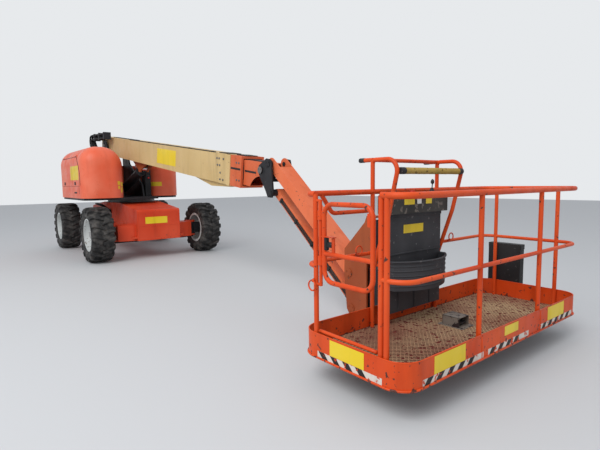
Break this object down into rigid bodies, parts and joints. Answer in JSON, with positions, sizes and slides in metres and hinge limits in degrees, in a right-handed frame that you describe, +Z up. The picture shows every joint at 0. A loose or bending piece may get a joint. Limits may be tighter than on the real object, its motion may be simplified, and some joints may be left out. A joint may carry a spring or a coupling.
{
  "type": "telescopic boom lift",
  "caption": "Self-propelled telescopic boom lift on block-tread wheels, with a slewing turntable, a sliding box boom, a levelled jib and a railed work platform with gate and console",
  "frame": {"origin": "on the ground under the centre of the turntable, midway between the axles", "axes": "+X forwards along the stowed boom, +Y to the machine's left, +Z up"},
  "size_m": [10.0211, 2.5263, 2.6185],
  "materials": {
    "tyre_rubber": "worn block tread, dusty",
    "rim_paint": "pale grey paint, scuffed",
    "chassis_orange": "sun-worn orange paint",
    "bearing_steel": "oiled steel",
    "black_paint": "satin black paint",
    "counterweight_orange": "orange paint over a casting",
    "hood_orange": "faded red-orange moulding",
    "engine_iron": "dark casting",
    "black_plastic": "matt black",
    "hose_rubber": "ribbed black sleeve",
    "boom_cream": "cream paint",
    "boom_orange": "orange paint, scuffed",
    "rod_chrome": "hard chrome",
    "jib_orange": "light orange paint",
    "head_brown": "dull brown-orange paint",
    "platform_orange": "orange paint with chips",
    "floor_steel": "worn brown expanded metal",
    "pad_yellow": "grimy foam sleeve",
    "console_charcoal": "charcoal moulding"
  },
  "bodies": {
    "chassis": {"chassis_frame": "chassis_orange", "swing_bearing": "bearing_steel", "tie_down_lugs": "chassis_orange", "front_axle": "chassis_orange", "rear_axle": "chassis_orange"},
    "steer_left": {"steer_knuckle_left": "black_paint"},
    "steer_right": {"steer_knuckle_right": "black_paint"},
    "track_rod": {"tie_rod": "black_paint"},
    "turntable": {"turntable_frame": "black_paint", "boom_pivot_pin": "bearing_steel", "counterweight": "counterweight_orange", "hood_right": "hood_orange", "hood_left": "hood_orange", "engine_block": "engine_iron", "tank_block": "black_plastic", "ground_control": "black_plastic", "hose_loop": "hose_rubber"},
    "right_door": {"door_right": "hood_orange"},
    "left_door": {"door_left": "hood_orange"},
    "base_section": {"boom_base": "boom_cream", "lift_bracket": "head_brown", "boom_strips": "black_plastic", "base_pads": "black_plastic"},
    "mid_section": {"boom_mid": "boom_orange", "mid_pads": "black_plastic"},
    "fly_section": {"boom_fly": "boom_orange"},
    "lift_barrel": {"lift_cylinder_barrel": "black_paint"},
    "lift_rod": {"lift_cylinder_rod": "rod_chrome"},
    "level_knuckle": {"jib_knuckle": "black_paint"},
    "upper_arm": {"jib_beam": "jib_orange"},
    "lower_arm": {"jib_link": "jib_orange", "jib_hoses": "hose_rubber"},
    "jib_barrel": {"jib_cylinder_barrel": "black_paint"},
    "jib_rod": {"jib_cylinder_rod": "rod_chrome"},
    "arm_head": {"jib_head": "head_brown", "rotator": "black_paint"},
    "platform": {"platform_support": "platform_orange", "platform_floor": "floor_steel", "toe_board": "platform_orange", "platform_rails": "platform_orange", "guard_bar": "pad_yellow", "console": "console_charcoal", "control_box": "black_plastic", "document_box": "black_plastic", "foot_switch": "black_plastic"},
    "gate": {"gate": "platform_orange"},
    "wheel_front_left": {"tyre_front_left": "tyre_rubber", "rim_front_left": "rim_paint"},
    "wheel_front_right": {"tyre_front_right": "tyre_rubber", "rim_front_right": "rim_paint"},
    "wheel_rear_left": {"tyre_rear_left": "tyre_rubber", "rim_rear_left": "rim_paint"},
    "wheel_rear_right": {"tyre_rear_right": "tyre_rubber", "rim_rear_right": "rim_paint"}
  },
  "joints": [
    {"name": "spin_front_left", "type": "hinge", "parent": "steer_left", "child": "wheel_front_left", "pos_m": [1.24, 1.03, 0.5], "axis": [0, 1, 0], "continuous": true},
    {"name": "spin_front_right", "type": "hinge", "parent": "steer_right", "child": "wheel_front_right", "pos_m": [1.24, -1.03, 0.5], "axis": [0, 1, 0], "continuous": true},
    {"name": "spin_rear_left", "type": "hinge", "parent": "chassis", "child": "wheel_rear_left", "pos_m": [-1.24, 1.03, 0.5], "axis": [0, 1, 0], "continuous": true},
    {"name": "spin_rear_right", "type": "hinge", "parent": "chassis", "child": "wheel_rear_right", "pos_m": [-1.24, -1.03, 0.5], "axis": [0, 1, 0], "continuous": true},
    {"name": "steer_left", "type": "hinge", "parent": "chassis", "child": "steer_left", "pos_m": [1.24, 0.79, 0.5], "axis": [0, 0, 1], "range_deg": [-25, 25]},
    {"name": "steer_right", "type": "hinge", "parent": "chassis", "child": "steer_right", "pos_m": [1.24, -0.79, 0.5], "axis": [0, 0, 1], "range_deg": [-25, 25]},
    {"name": "track_rod_slide", "type": "slide", "parent": "chassis", "child": "track_rod", "axis": [0, 1, 0], "range_m": [-0.1, 0.1]},
    {"name": "turntable_swing", "type": "hinge", "parent": "chassis", "child": "turntable", "pos_m": [0, 0, 1.1], "axis": [0, 0, 1], "continuous": true},
    {"name": "right_door_lift", "type": "hinge", "parent": "turntable", "child": "right_door", "pos_m": [-0.2, -1.11797, 1.95281], "axis": [-1, 0, 0], "range_deg": [0, 75]},
    {"name": "left_door_lift", "type": "hinge", "parent": "turntable", "child": "left_door", "pos_m": [-0.5, 1.015, 1.813], "axis": [1, 0, 0], "range_deg": [0, 75]},
    {"name": "boom_lift", "type": "hinge", "parent": "turntable", "child": "base_section", "pos_m": [-1, 0, 2.285], "axis": [0, -1, 0], "range_deg": [0, 80]},
    {"name": "lift_barrel_swing", "type": "hinge", "parent": "turntable", "child": "lift_barrel", "pos_m": [-0.75, 0, 1.23], "axis": [0, -1, 0], "range_deg": [0, 62]},
    {"name": "lift_rod_slide", "type": "slide", "parent": "lift_barrel", "child": "lift_rod", "axis": [0.9569, 0, 0.2903], "range_m": [0, 1.285]},
    {"name": "mid_slide", "type": "slide", "parent": "base_section", "child": "mid_section", "axis": [0.9917, 0, -0.1288], "range_m": [0, 4.3]},
    {"name": "fly_slide", "type": "slide", "parent": "mid_section", "child": "fly_section", "axis": [0.9917, 0, -0.1288], "range_m": [0, 4.3]},
    {"name": "knuckle_level", "type": "hinge", "parent": "fly_section", "child": "level_knuckle", "pos_m": [5.27, 0, 1.54], "axis": [0, -1, 0], "range_deg": [-80, 0]},
    {"name": "jib_lift", "type": "hinge", "parent": "level_knuckle", "child": "upper_arm", "pos_m": [5.42, 0, 1.61], "axis": [0, -1, 0], "range_deg": [-20, 110]},
    {"name": "lower_arm_swing", "type": "hinge", "parent": "level_knuckle", "child": "lower_arm", "pos_m": [5.45, 0, 1.27], "axis": [0, -1, 0], "range_deg": [-20, 110]},
    {"name": "head_level", "type": "hinge", "parent": "upper_arm", "child": "arm_head", "pos_m": [6.72228, 0, 0.51726], "axis": [0, -1, 0], "range_deg": [-110, 20]},
    {"name": "jib_barrel_swing", "type": "hinge", "parent": "level_knuckle", "child": "jib_barrel", "pos_m": [5.44, 0, 1.52], "axis": [0, -1, 0], "range_deg": [-21, 112]},
    {"name": "jib_rod_slide", "type": "slide", "parent": "jib_barrel", "child": "jib_rod", "axis": [0.7838, 0, -0.621], "range_m": [-0.035, 0.175]},
    {"name": "platform_rotate", "type": "hinge", "parent": "arm_head", "child": "platform", "pos_m": [7.04, 0, 0.4], "axis": [0, 0, 1], "range_deg": [-90, 90]},
    {"name": "gate_swing", "type": "hinge", "parent": "platform", "child": "gate", "pos_m": [7.53, -1.1937, 1], "axis": [0, 0, 1], "range_deg": [0, 90]}
  ],
  "couplings": [
    {"joint": "steer_right", "follows": "steer_left", "ratio": 1},
    {"joint": "track_rod_slide", "follows": "steer_left", "m_per_rad": -0.2228},
    {"joint": "lift_barrel_swing", "follows": "boom_lift", "ratio": 0.763},
    {"joint": "lift_rod_slide", "follows": "boom_lift", "m_per_rad": 0.9162},
    {"joint": "fly_slide", "follows": "mid_slide", "ratio": 1},
    {"joint": "knuckle_level", "follows": "boom_lift", "ratio": -1},
    {"joint": "lower_arm_swing", "follows": "jib_lift", "ratio": 1},
    {"joint": "head_level", "follows": "jib_lift", "ratio": -1},
    {"joint": "jib_barrel_swing", "follows": "jib_lift", "ratio": 1.008},
    {"joint": "jib_rod_slide", "follows": "jib_lift", "m_per_rad": 0.088}
  ]
}
